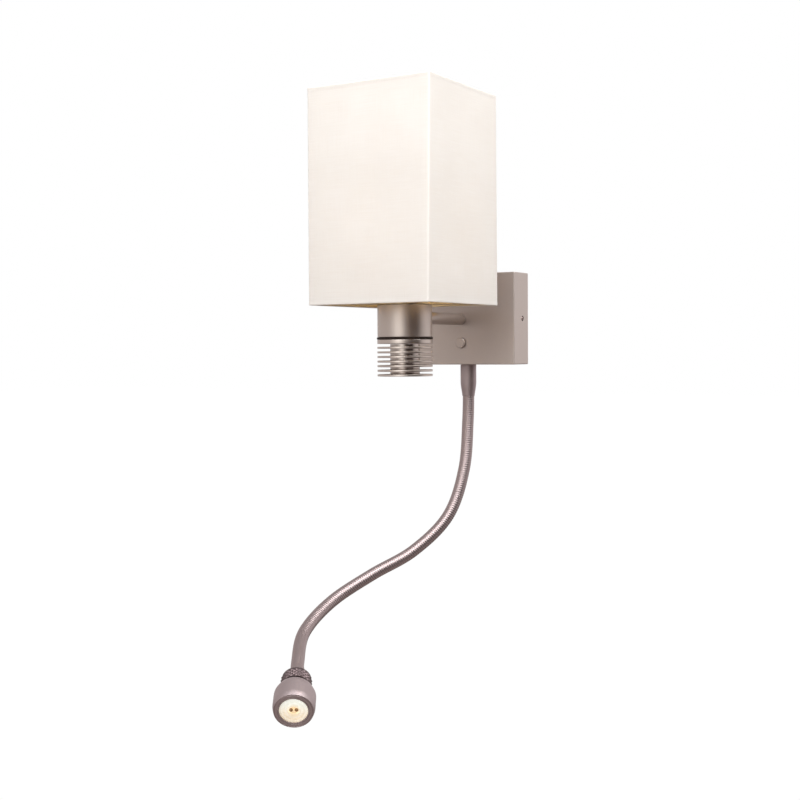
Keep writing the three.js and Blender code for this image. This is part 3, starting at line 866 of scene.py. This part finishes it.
# ---- Arm ----
def add_arm():
    """The threaded pipe, the tube over it, the collar at the cup, and the two nuts."""
    tube_box, collar, pipe = span("arm_tube"), span("arm_collar"), span("arm_pipe")
    side = screw_thread(pipe.size.z / 2, pipe.low.y, pipe.high.y, 1.0, 0.3)
    threaded = turned([*side, (3.2, pipe.high.y), (3.2, pipe.low.y)], 32)
    piece("lead_pipe", threaded, "arm_pipe", at=ALONG_Y)
    bore, radius, groove = 5.2, tube_box.size.z / 2, tube_box.size.z / 2 - 1.2
    start, end = tube_box.low.y + 2.4, tube_box.high.y
    corners = [(bore, start, 0.1), (radius, start, 0.35), (radius, end - 2.7, 0.6)]
    corners += [(groove, end - 2.0, 0.1), (groove, end, 0.1), (bore, end, 0)]
    piece("tube_cover", turned(rounded(corners, 3), 72), "arm_tube", at=ALONG_Y)
    bore, radius, groove = 6.05, collar.size.z / 2, collar.size.z / 2 - 0.35
    start, end = collar.low.y + 2, collar.high.y
    corners = [(bore, start, 0), (radius, start, 0), (radius, end - 2.3, 0.15)]
    corners += [(groove, end - 2.1, 0.1), (groove, end - 1.7, 0.1), (radius, end - 1.5, 0.15)]
    corners += [(radius, end, 0.4), (bore, end, 0.1)]
    piece("cup_collar", turned(rounded(corners, 3), 72), "arm_collar", at=ALONG_Y)
    for node in ("arm_nut_canopy", "arm_nut_cup"):
        box = span(node)
        nut = hex_nut(box.size.x / 2, box.low.y, box.high.y)
        piece(f"hex_{node}", nut, node, at=ALONG_Y, flat=True)


add_arm()


# ---- Cup and the stack of discs ----
cup_box = span("lamp_cup")
SHADE_AXIS = point_at(cup_box.middle.x, cup_box.middle.y, 0)


def add_cup():
    """A spun cup with a rolled lip, eased at its foot."""
    low, high = cup_box.low.z, cup_box.high.z
    bore, outside, inside = 3.4, cup_box.size.x / 2, cup_box.size.x / 2 - 1.6
    floor = low + 3.0
    corners = [(bore, low, 0), (outside, low, 0.3), (outside, high, 0.5)]
    corners += [(inside, high, 0.5), (inside, floor, 1.5), (bore, floor, 0)]
    piece("cup_shell", turned(rounded(corners, 5), 128), "lamp_cup", at=SHADE_AXIS)


def add_ring(name, node, inner, edge, steps=3):
    """A flat ring as wide and as thick as its CAD node."""
    box = span(node)
    shape = sleeve(inner, box.size.x / 2, box.low.z, box.high.z, edge, 128, steps)
    piece(name, shape, node, at=SHADE_AXIS)


def add_stack():
    """The gasket, the flange plate, the post and the seven thin discs on it, and their screw."""
    add_ring("gasket_band", "gasket_ring", 18, 0.35)
    add_ring("flange_disc", "flange_plate", 3.4, 0.3)
    post = span("fin_post")
    radius, low, high = post.size.x / 2, post.low.z, post.high.z
    corners = [(3.4, high, 0), (radius, high, 0), (radius, low, 0.6), (6, low, 0.3), (3.4, low + 2.6, 0.3)]
    # the post's darkened finish paints the shade that falls between the discs
    piece("disc_post", turned(rounded(corners), 128), "fin_post", at=SHADE_AXIS, finish=POST_SHADED_FINISH)
    for node in sorted(n for n in frame["nodes"] if n.startswith("fin_") and n != "fin_post"):
        add_ring(f"disc_{node}", node, radius - 0.1, 0.35, 4)
    screw = span("stack_screw")
    low, high = screw.low.z, screw.high.z
    corners = [(0, low + 0.25, 0), (3.6, low, 0.3), (5.35, low + 0.1, 0.15)]
    corners += [(3, low + 2.4, 0.2), (3, high, 0.4), (0, high, 0)]
    recess = prism(hexagon(1.9), low - 1, low + 1.9, 0.01)
    shape = carved(turned(rounded(corners, 3), 48), recess)
    piece("socket_screw", shape, "stack_screw", at=SHADE_AXIS)


add_cup()
add_stack()


# ---- Lampholder and bulb ----
def add_lampholder():
    """A porcelain holder with a shoulder and a coarse outer thread for the shade's ring."""
    box = span("lampholder")
    low, high = box.low.z, box.high.z
    shoulder = 9.0
    foot = rounded([(3.4, low, 0.4), (18.5, low, 0.8), (18.5, shoulder - 0.6, 0.5)], 3)[:-4]
    ledge = [(18.5, shoulder - 0.8), (21.3, shoulder), (21.6, shoulder + 0.4)]
    ledge += [(21.6, shoulder + 2.1), (21.3, shoulder + 2.4)]
    side = screw_thread(18.2, shoulder + 2.9, high - 0.8, 2.3, 0.55)
    inside = [(17.4, high), (14.4, high), (14.0, high - 0.5), (14.0, 0.4), (13.6, 0), (3.4, 0)]
    shape = turned([*foot, *ledge, *side, *inside], 96)
    piece("holder_body", shape, "lampholder", at=SHADE_AXIS)


def add_bulb():
    """A pear-shaped opal envelope on a rolled screw base."""
    base = span("bulb_base")
    radius, low, high = base.size.x / 2, base.low.z, base.high.z
    profile = [(0, low), (4.6, low), (5.0, low + 1.2), (9.5, low + 2.4)]
    turns, steps = 5, 10
    thread_low, thread_high = low + 3.6, high - 3.4
    for i in range(turns * steps + 1):
        z = thread_low + (thread_high - thread_low) * i / (turns * steps)
        profile.append((radius - 0.55 + 0.5 * math.cos(2 * math.pi * i / steps), z))
    profile += [(radius - 0.2, high - 2.8), (radius - 0.2, high), (0, high)]
    piece("screw_base", turned(profile, 72), "bulb_base", at=SHADE_AXIS)
    glass = span("bulb_glass")
    widest, low, high = glass.size.x / 2, glass.low.z, glass.high.z
    centre = high - widest
    join_angle = math.radians(-28)
    join = (widest * math.cos(join_angle), centre + widest * math.sin(join_angle))
    outside = []
    neck_steps, cap_steps = 18, 26
    for t in (i / neck_steps for i in range(neck_steps + 1)):
        ease = t * t * (3 - 2 * t) * 0.55 + t * 0.45 * t
        outside.append((radius + (join[0] - radius) * ease, low + (join[1] - low) * t))
    for i in range(1, cap_steps):
        angle = join_angle + (math.pi / 2 - join_angle) * i / cap_steps
        outside.append((widest * math.cos(angle), centre + widest * math.sin(angle)))
    outside.append((0, high))
    wall = 1.0
    inside = [(max(r - wall, 0), z if i == 0 else z - 0.8) for i, (r, z) in enumerate(outside)]
    shape = turned(outside + inside[::-1], 72)
    envelope = piece("bulb_envelope", shape, "bulb_glass", at=SHADE_AXIS, sharp=50)
    envelope.visible_glossy = False  # the metal under the shade doesn't mirror the lit bulb


add_lampholder()
add_bulb()


# ---- Shade ----
def square_loop(half, corner, z, per_side=1, per_corner=5):
    """Points round a square with rounded corners, anticlockwise from the end of its -Y side."""
    straight = half - corner
    arc = [-math.pi / 2 + math.pi / 2 * k / per_corner for k in range(per_corner + 1)]
    spots = [(straight + corner * math.cos(a), -straight + corner * math.sin(a)) for a in arc]
    spots += [(half, -straight + 2 * straight * k / per_side) for k in range(1, per_side)]
    turns = [Matrix.Rotation(quarter * math.pi / 2, 2) for quarter in range(4)]
    return [(*(turn @ Vector(spot)), z) for turn in turns for spot in spots]


def lofted(loops):
    """Loops of equal length joined one to the next, and the last to the first, with UVs in millimetres."""
    count = len(loops[0])
    points = [point for loop in loops for point in loop]
    faces, uvs = [], []
    around = [0.0]
    for here, after in zip(loops[0], [*loops[0][1:], loops[0][0]]):
        around.append(around[-1] + (Vector(after) - Vector(here)).length)
    for i, (lower, upper) in enumerate(zip(loops, [*loops[1:], loops[0]])):
        faces += quads(i * count, (i + 1) % len(loops) * count, count)
        v0, v1 = lower[0][2], upper[0][2]
        for u0, u1 in zip(around, around[1:]):
            uvs += [(u0, v0), (u1, v0), (u1, v1), (u0, v1)]
    return Shape(points, faces, uvs)


SHADE_CORNER = 1.8
ROLL = 3.2  # the rolled edge at the shade's top and bottom
ROLL_PROUD = 0.14
SEAM = 9.0  # the lapped seam beside the shade's back left corner
SEAM_PROUD = 0.25
CLOTH = 0.6  # the cloth's thickness
ROWS = 44
TWIST = (-1.5, -0.1)  # degrees that the shade is turned on its axis at its bottom and top


def twisted(shape):
    """The shape turned about the shade's axis by the shade's own slight twist at each height."""
    box = span("shade_fabric")
    points = []
    for point in shape.points:
        share = (point.z - box.low.z) / box.size.z
        points.append(rotation(TWIST[0] + (TWIST[1] - TWIST[0]) * share, "Z") @ point)
    return Shape(points, shape.faces, shape.uvs)


def wavering(point, reach):
    """How far the stretched cloth stands in or out at a point, in millimetres."""
    return reach * noise.noise(Vector(point) / 46.0 + Vector((3.1, 0.7, 5.2)))


def stretched_loop(height, outside):
    """The cloth's outline at a height over its lower edge, on its outer or its inner face."""
    box = span("shade_fabric")
    half = box.size.x / 2
    from_edge = min(height, box.size.z - height)
    rounding = max(0.0, 0.3 - from_edge) * 0.8
    roll = ROLL_PROUD * min(1.0, max(0.0, (ROLL - from_edge) / (0.4 * ROLL)))
    proud = roll - rounding if outside else rounding
    inset = 0 if outside else CLOTH
    base = half - (ROLL_PROUD + SEAM_PROUD + inset)
    loop = []
    for x, y, z in square_loop(base, SHADE_CORNER - inset, box.low.z + height, 26, 6):
        if abs(abs(x) - abs(y)) < 3.4:
            side = Vector((x, y, 0)).normalized()
        elif abs(x) > abs(y):
            side = Vector((math.copysign(1, x), 0, 0))
        else:
            side = Vector((0, math.copysign(1, y), 0))
        calm = min(1.0, (half - min(abs(x), abs(y))) / 20) * min(1.0, from_edge / 15)
        in_seam = outside and half - SEAM < -x < half - 3 < y
        lap = SEAM_PROUD if in_seam else 0.0
        loop.append(Vector((x, y, z)) + side * (proud + lap + wavering((x, y, z), 0.5) * calm))
    return loop


def add_shade_fabric():
    """The stretched cloth: one closed sheet with folded hems and a lapped seam at the back."""
    box = span("shade_fabric")
    rims = [0.0, 0.15, 0.45, 1.0, 0.5 * ROLL, 0.7 * ROLL, 0.85 * ROLL, ROLL]
    body = [ROLL + 2 + (box.size.z - 2 * ROLL - 4) * k / ROWS for k in range(ROWS + 1)]
    heights = rims + body + [box.size.z - rim for rim in reversed(rims)]
    loops = [stretched_loop(height, True) for height in heights]
    loops += [stretched_loop(height, False) for height in reversed(heights)]
    cloth = piece("shade_cloth", twisted(lofted(loops)), "shade_fabric", at=SHADE_AXIS, sharp=70)


def square_tube(width, thick, corner, low, high, edge=0.15):
    """A thin square tube with eased rims."""
    outer, inner = width / 2, width / 2 - thick
    section = [(outer - edge, low), (outer, low + edge), (outer, high - edge), (outer - edge, high)]
    section += [(inner + edge, high), (inner, high - edge), (inner, low + edge), (inner + edge, low)]
    return lofted([square_loop(reach, max(corner - outer + reach, 0.3), z, 12) for reach, z in section])


def add_shade_inside():
    """The liner, the bottom carrier with its spokes, the clamping ring and the top frame."""
    liner = span("shade_liner")
    shape = square_tube(liner.size.x, 0.6, 1.9, liner.low.z, liner.high.z)
    piece("liner_sheet", twisted(shape), "shade_liner", at=SHADE_AXIS)
    carrier = span("shade_carrier")
    low = carrier.low.z
    reach = (carrier.size.x / 2 - 0.9) * math.sqrt(2)
    shape = square_tube(carrier.size.x, 1.2, 1.3, low, carrier.high.z, 0.3)
    shape += sleeve(18.8, 24, low + 0.2, low + 1.6, 0.4)
    flat = rounded_box((21, -2.5, low + 0.2), (reach - 2.5, 2.5, low + 1.6), 0.35, 2)
    rib = rounded_box((25, -0.8, low + 1.2), (reach - 8, 0.8, low + 2.2), 0.35, 2)
    for degrees in (45, 135, 225, 315):
        shape += (flat + rib).placed(rotation(degrees, "Z"))
    piece("carrier_frame", twisted(shape), "shade_carrier", at=SHADE_AXIS, flat=True, finish=GILT_FINISH)
    nut = span("shade_nut")
    low, high = nut.low.z, nut.high.z
    corners = [(18.7, low, 0.3), (22.4, low, 0.5), (22.4, high, 0.8), (18.7, high, 0.4)]
    shape = turned(rounded(corners), 192, flutes=(48, 0.5, 21))
    piece("clamp_ring", shape, "shade_nut", at=SHADE_AXIS)
    top = span("shade_top_frame")
    wire = top.size.z / 2
    middle = top.size.x / 2 - wire
    loops = []
    for across, up in circle(12):
        corner = max(1.3 + wire * across, 0.2)
        loops.append(square_loop(middle + wire * across, corner, top.middle.z + wire * up, 12))
    piece("top_wire", twisted(lofted(loops)), "shade_top_frame", at=SHADE_AXIS, sharp=60)


add_shade_fabric()
add_shade_inside()


# ---- Reading head's own frame: +Z looks out of the lens, +X from the left LED to the right one ----
BOARD_AT = 40.4  # the board's middle, from the back of the collar along the head
BOARD_TOP = BOARD_AT + 0.8


def centroid(node):
    """The middle of a turned CAD node: the mean of its different vertices, in millimetres."""
    points = np.array([vertex.co for vertex in frame["nodes"][node].data.vertices], float)
    different = np.unique(points.round(6), axis=0)
    return Vector(different.mean(0)) / MM


def head_frame():
    board, ring = centroid("head_board"), centroid("head_ring")
    forward = (ring - board).normalized()
    side = centroid("led_right") - centroid("led_left")
    side = (side - forward * side.dot(forward)).normalized()
    turn = Matrix((side, forward.cross(side), forward)).transposed().to_4x4()
    return Matrix.Translation(board - forward * BOARD_AT) @ turn


HEAD = head_frame()


# ---- Gooseneck ----
NECK_RADIUS = 6.0
RIB_PITCH = 2.25
RIB_DEPTH = 0.25
RIB_STEPS = 8
NECK_SIDES = 28
NECK_JOINTS = [joint for joint in frame["joints"] if joint["name"].startswith("neck_bend_")]
FERRULE = 15.0  # a smooth flared sleeve on the neck's end, behind the collar


def neck_route():
    """The knots of the neck's centre line: into the fitting, the bending stations, into the collar."""
    inlet = span("inlet_fitting")
    x, y = inlet.middle.x, inlet.middle.y
    start = [Vector((x, y, inlet.low.z + 8.4)), Vector((x, y, inlet.low.z - 1.6))]
    bends = [Vector(joint["pos_m"]) / MM for joint in NECK_JOINTS]
    return start + bends + [HEAD @ Vector((0, 0, 0)), HEAD @ Vector((0, 0, 6.02))]


def centripetal(knots, per_span=80):
    """Points along the centripetal Catmull-Rom curve through the knots."""
    ends = [2 * knots[0] - knots[1], *knots, 2 * knots[-1] - knots[-2]]
    line = []
    for p0, p1, p2, p3 in zip(ends, ends[1:], ends[2:], ends[3:]):
        d0, d1, d2 = (math.sqrt((b - a).length) for a, b in ((p0, p1), (p1, p2), (p2, p3)))
        m1 = ((p1 - p0) / d0 - (p2 - p0) / (d0 + d1) + (p2 - p1) / d1) * d1
        m2 = ((p2 - p1) / d1 - (p3 - p1) / (d1 + d2) + (p3 - p2) / d2) * d1
        for k in range(per_span):
            t = k / per_span
            cubic = (2 * p1 - 2 * p2 + m1 + m2) * t**3 + (3 * p2 - 3 * p1 - 2 * m1 - m2) * t**2
            line.append(cubic + m1 * t + p1)
    return line + [knots[-1]]


class Route:
    """The neck's centre line, measured along its length, with a frame at each distance."""

    def __init__(self, knots, per_span=80):
        line = centripetal(knots, per_span)
        steps = [b - a for a, b in zip(line, line[1:])]
        self.distance = np.concatenate([[0], np.cumsum([step.length for step in steps])])
        self.at_knot = self.distance[::per_span]
        self.length = self.distance[-1]
        sides = [steps[0].normalized().orthogonal().normalized()]
        for onward in (step.normalized() for step in steps):
            sides.append((sides[-1] - onward * sides[-1].dot(onward)).normalized())
        self.line, self.sides = np.array(line), np.array(sides)

    def point(self, along, values=None):
        values = self.line if values is None else values
        return Vector(np.interp(along, self.distance, column) for column in values.T)

    def station(self, along):
        """The distance, the point there, and the two directions across the line."""
        onward = (self.point(along + 0.4) - self.point(along - 0.4)).normalized()
        side = self.point(along, self.sides)
        side = (side - onward * side.dot(onward)).normalized()
        return along, self.point(along), side, onward.cross(side)


def wound_radius(along, share):
    """The neck's radius over its wound wire, with a rounded rib each turn."""
    rib = abs(math.sin(math.pi * (along / RIB_PITCH - share))) ** 0.6
    return NECK_RADIUS - RIB_DEPTH * (1 - rib)


def ribbed_skin(route, start, end):
    """The neck's outside between two distances."""
    count = max(2, round((end - start) / (RIB_PITCH / RIB_STEPS)))
    stations = [route.station(start + (end - start) * i / count) for i in range(count + 1)]
    return tube(stations, NECK_SIDES, wound_radius, girth=2 * math.pi * NECK_RADIUS)


def add_neck():
    """Eight skins, one over each bending station, which meet in the middle of the links between."""
    route = Route(neck_route())
    stations = route.at_knot[2 : 2 + len(NECK_JOINTS)]
    meets = [(a + b) / 2 for a, b in zip(stations, stations[1:])]
    starts, ends = [6.0, *meets], [*meets, route.length - 2.0]
    inlet_tip = route.at_knot[1] + 1.0
    collar_back = route.at_knot[-2] - 1.0
    for i, (joint, start, end) in enumerate(zip(NECK_JOINTS, starts, ends)):
        skin = shown(f"neck_skin_{i + 1}", ribbed_skin(route, start, end), 75, NECK_FINISH)
        bend_from = route.point(max(start, inlet_tip))
        bend_to = route.point(min(end, collar_back - FERRULE))
        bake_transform(skin)
        covered = [f"neck_{i}"] if i + 1 < len(NECK_JOINTS) else [f"neck_{i}", f"neck_{i + 1}"]
        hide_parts(*covered)


def add_ferrule():
    """A plain sleeve that flares a little towards the collar."""
    profile = [(5.5, -FERRULE), (5.85, -FERRULE + 0.1), (6.02, -FERRULE + 0.7)]
    profile += [(6.1 + share * share, (share - 1) * FERRULE) for share in (k / 10 for k in range(1, 11))]
    profile += [(7.1, 2.0), (5.5, 2.0)]
    piece("neck_ferrule", turned(profile, 72), like="grip_collar", at=HEAD, finish=FERRULE_FINISH)


def add_inlet():
    """The fitting under the canopy, which tapers to its tip, and its washer and nut inside."""
    box = span("inlet_fitting")
    low, high = box.low.z, box.high.z
    place = point_at(box.middle.x, box.middle.y, 0)
    shoulder = span("canopy_cover").low.z - 0.3
    side = screw_thread(5.0, shoulder + 0.3, high, 1.0, 0.25)
    rim = rounded([(5, shoulder, 0), (8.1, shoulder, 0.35), (8.1, low + 15.4, 0)], 3)[1:]
    taper = [(8.04, 13.4), (7.88, 11.4), (7.62, 9.2), (7.28, 7.0), (6.92, 4.8), (6.6, 2.7), (6.4, 1.0)]
    tip = [(6.3, 0.2), (6.2, 0), (6.05, 0.2), (6.05, 14.4)]
    below = [(radius, low + up) for radius, up in taper + tip]
    shape = turned([(3, low + 14.4), (3, high), *side[::-1], *rim, *below], 96)
    piece("neck_fitting", shape, "inlet_fitting", at=place)
    washer = span("inlet_washer")
    shape = sleeve(5.3, washer.size.x / 2, washer.low.z, washer.high.z, 0.2, 48)
    piece("fitting_washer", shape, "inlet_washer", at=place)
    nut = span("inlet_nut")
    shape = hex_nut(nut.size.x / 2, nut.low.z, nut.high.z)
    piece("fitting_nut", shape, "inlet_nut", at=place, flat=True)


add_neck()
add_ferrule()
add_inlet()


# ---- Reading head ----
GRIP = 14.0
GRIP_LENGTH = 16.0
KNURLS = 20
LED_APART = 2.35  # from the middle
LED_Y = -1.1


def knurled_sleeve(radius, depth, low, high, cells):
    """Pyramids between two crossing sets of helical grooves, on a grid of half cells."""
    rows = 2 * round((high - low) / (2 * math.pi * radius / cells))
    columns = 2 * cells
    points, faces = [], []
    for row in range(rows + 1):
        z = low + (high - low) * row / rows
        for column, (across, along) in enumerate(circle(columns)):
            peak = (row + column) % 2 and 0 < row < rows
            reach = radius if peak else radius - depth
            points.append((reach * across, reach * along, z))
    for row in range(rows):
        for column, (a, b, c, d) in enumerate(quads(row * columns, (row + 1) * columns, columns)):
            faces += [(a, b, d), (b, c, d)] if (row + column) % 2 else [(a, b, c), (a, c, d)]
    return points, faces, rows, columns


def add_grip_collar():
    """The dark collar that is turned by hand: diamond knurling between two plain bands."""
    band, end = 1.9, GRIP_LENGTH
    points, faces, rows, columns = knurled_sleeve(GRIP, 0.85, band, end - 2.6, KNURLS)
    lower = [(6.4, 8.6), (6.4, 0.3), (6.7, 0), (GRIP - 3.2, 0), (GRIP - 1.7, 0.35), (GRIP - 0.9, 1.1)]
    upper = [(GRIP - 0.5, end - 2.3), (GRIP - 0.5, end - 1.8), (GRIP - 2.6, end - 1.6)]
    upper += [(GRIP - 2.6, end), (8.4, end), (8.4, 8.6)]
    rings = []
    for radius, z in lower + upper:
        rings.append(len(points))
        points += [(radius * across, radius * along, z) for across, along in circle(columns)]
    first_upper = len(lower)
    before = [*rings[:first_upper], 0]
    after = [rows * columns, *rings[first_upper:], rings[0]]
    for chain in (before, after):
        for low, high in zip(chain, chain[1:]):
            faces += quads(low, high, columns)
    piece("knurled_collar", Shape(points, faces), "grip_collar", at=HEAD, sharp=24)


def add_housing():
    """The head's housing, which curves in towards its mouth like a brow, and the ring in the mouth."""
    start, radius, length, mouth = GRIP_LENGTH + 0.3, 18.4, 45.6, 13.9
    corners = [(3, 9, 0), (8, 9, 0.4), (8, start, 0), (GRIP - 0.1, start, 0.4)]
    corners += [(GRIP + 2.2, start + 3.2, 3), (radius, start + 9.0, 5.5)]
    brow_radius, brow_tilt, steps = 16, 16, 12
    for k in range(steps + 1):
        tilt = math.radians(brow_tilt * k / steps)
        inwards = brow_radius * (1 - math.cos(tilt))
        corners.append((radius - inwards, length - 6.5 + brow_radius * math.sin(tilt), 0))
    corners += [(17.3, length, 0.7), (16.7, length, 0.1), (16.5, length - 0.35, 0.1)]
    corners += [(16.2, length - 0.35, 0.1), (16.0, length, 0.1), (mouth, length, 0.2)]
    corners += [(mouth, 39.3, 0.2), (12.6, 39.3, 0.2), (12.6, 25, 0.3), (3, 25, 0)]
    piece("head_housing", turned(rounded(corners, 7), 128), "head_body", at=HEAD)
    piece("lens_ring", sleeve(12.4, 13.75, 44.5, length, 0.2, 96), "head_ring", at=HEAD)


def add_optic():
    """The ridged lens and the bright bowl behind it."""
    lens = [(0, 43.05)]
    for ridge in (13.4 * i / 6 for i in range(1, 6)):
        lens += [(ridge - 0.5, 43.1), (ridge, 42.95), (ridge + 0.5, 43.1)]
    lens += [(13.4, 43.1), (13.6, 43.3), (13.6, 44.1), (13.4, 44.3), (9, 44.7), (4.5, 44.95), (0, 45.05)]
    piece("optic_lens", turned(lens, 96), "head_optic", at=HEAD, sharp=40)
    rings = 6
    bowl = [(5.3, BOARD_TOP + 0.2)]
    for share in (i / rings for i in range(rings + 1)):
        reach, depth = 5.6 + 7.5 * share, BOARD_TOP + 0.3 + 1.1 * share * share
        bowl += [(reach - 0.3, depth), (reach + 0.35, depth + 0.12)]
    bowl += [(13.65, 42.85), (13.7, 42.5), (13.4, BOARD_TOP + 0.2)]
    piece("optic_bowl", turned(bowl, 96), like="head_optic", at=HEAD, finish=glowing_bowl("bowl"))


def add_board():
    """The board, with a pad and a domed LED on each side of its middle."""
    shape = sleeve(0.4, 13.5, BOARD_AT - 0.8, BOARD_TOP, 0.15, 72)
    for x in (-LED_APART, LED_APART):
        low, high = (x - 1.9, LED_Y - 2.2, BOARD_TOP - 0.1), (x + 1.9, LED_Y + 2.2, BOARD_TOP + 0.15)
        shape += rounded_box(low, high, 0.1, 1)
    piece("board_disc", shape, "head_board", at=HEAD, finish=glowing_bowl("lit_board"))
    low, radius = BOARD_TOP + 0.1, 1.7
    arc = [math.pi / 2 * k / 8 for k in range(8)]
    dome = [(radius * math.cos(a), low + 0.5 + 0.8 * math.sin(a)) for a in arc]
    chip = turned([(0, low), (radius, low), *dome, (0, low + 1.3)], 32)
    for node, x in (("led_left", -LED_APART), ("led_right", LED_APART)):
        piece(f"chip_{node}", chip, node, at=HEAD @ point_at(x, LED_Y, 0))


add_grip_collar()
add_housing()
add_optic()
add_board()

bpy.context.view_layer.update()
